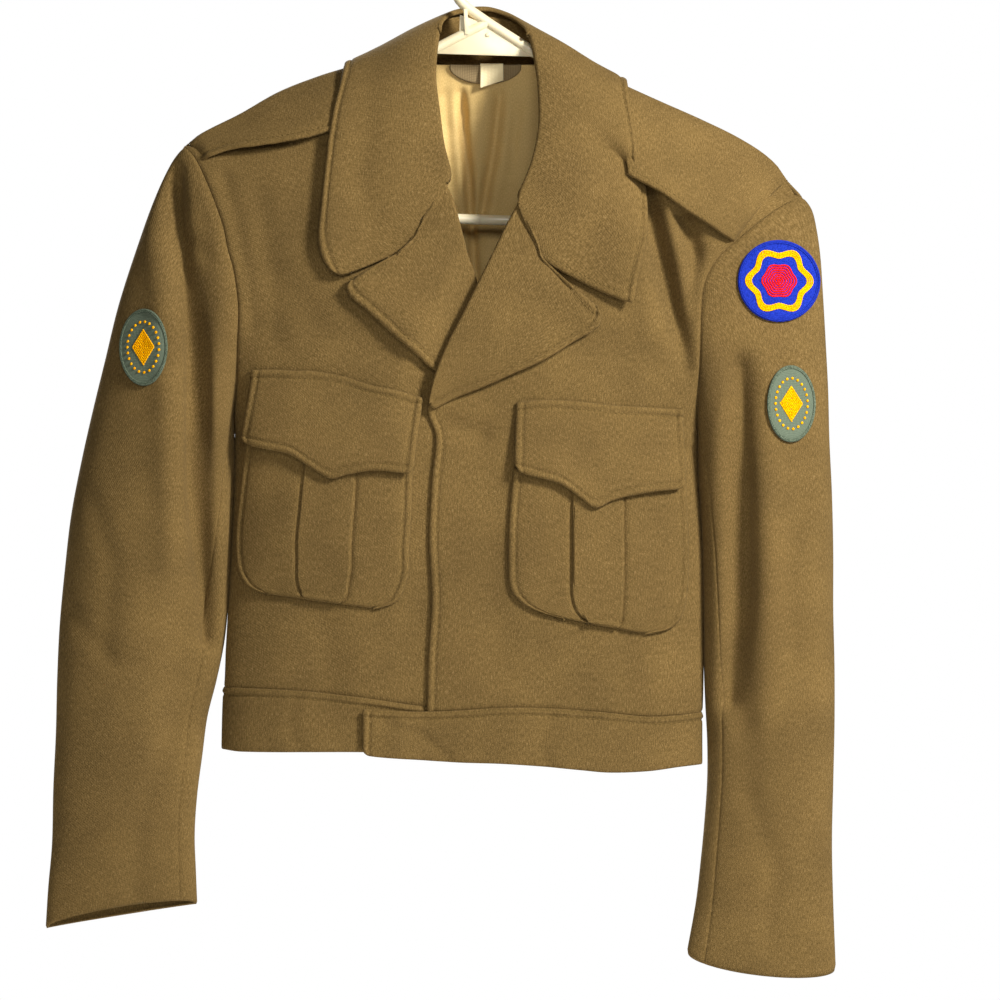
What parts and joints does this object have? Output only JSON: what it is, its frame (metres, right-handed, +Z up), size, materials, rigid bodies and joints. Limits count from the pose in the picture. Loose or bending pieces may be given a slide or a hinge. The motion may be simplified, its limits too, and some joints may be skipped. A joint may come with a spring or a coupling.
{
  "type": "wool field jacket on a hanger",
  "caption": "Waist-length wool field jacket hanging open at the neck on a moulded tube hanger, sleeves straight down.",
  "frame": {"origin": "inside crown of the hanger's hook, where a rail touches it", "axes": "+Z up, -Y out of the jacket's front, +X to the wearer's left"},
  "size_m": [0.62, 0.0956, 0.8533],
  "materials": {
    "wool": "brushed heather wool serge, olive brown",
    "lining": "tan cotton sateen",
    "facing": "dull grey-brown twill",
    "label": "cream woven tape, bare",
    "shoulder_patch": "embroidered twill",
    "sleeve_patch": "grey-green felt",
    "hanger_plastic": "smooth cream plastic"
  },
  "bodies": {
    "root": {"front_left": "wool", "front_right": "wool", "back_panel": "wool", "sleeve_left_upper": "wool", "sleeve_left_under": "wool", "sleeve_right_upper": "wool", "sleeve_right_under": "wool", "waistband_left": "wool", "waistband_right": "wool", "waistband_back": "wool", "collar_leaf": "wool", "collar_stand": "wool", "lapel_left": "wool", "lapel_right": "wool", "shoulder_strap_left": "wool", "shoulder_strap_right": "wool", "pocket_bag_left": "wool", "pocket_bag_right": "wool", "pocket_flap_left": "wool", "pocket_flap_right": "wool", "lining_back": "lining", "neck_facing": "facing", "neck_label": "label", "patch_shoulder_left": "shoulder_patch", "patch_sleeve_left": "sleeve_patch", "patch_sleeve_right": "sleeve_patch", "hanger": "hanger_plastic"}
  },
  "joints": []
}
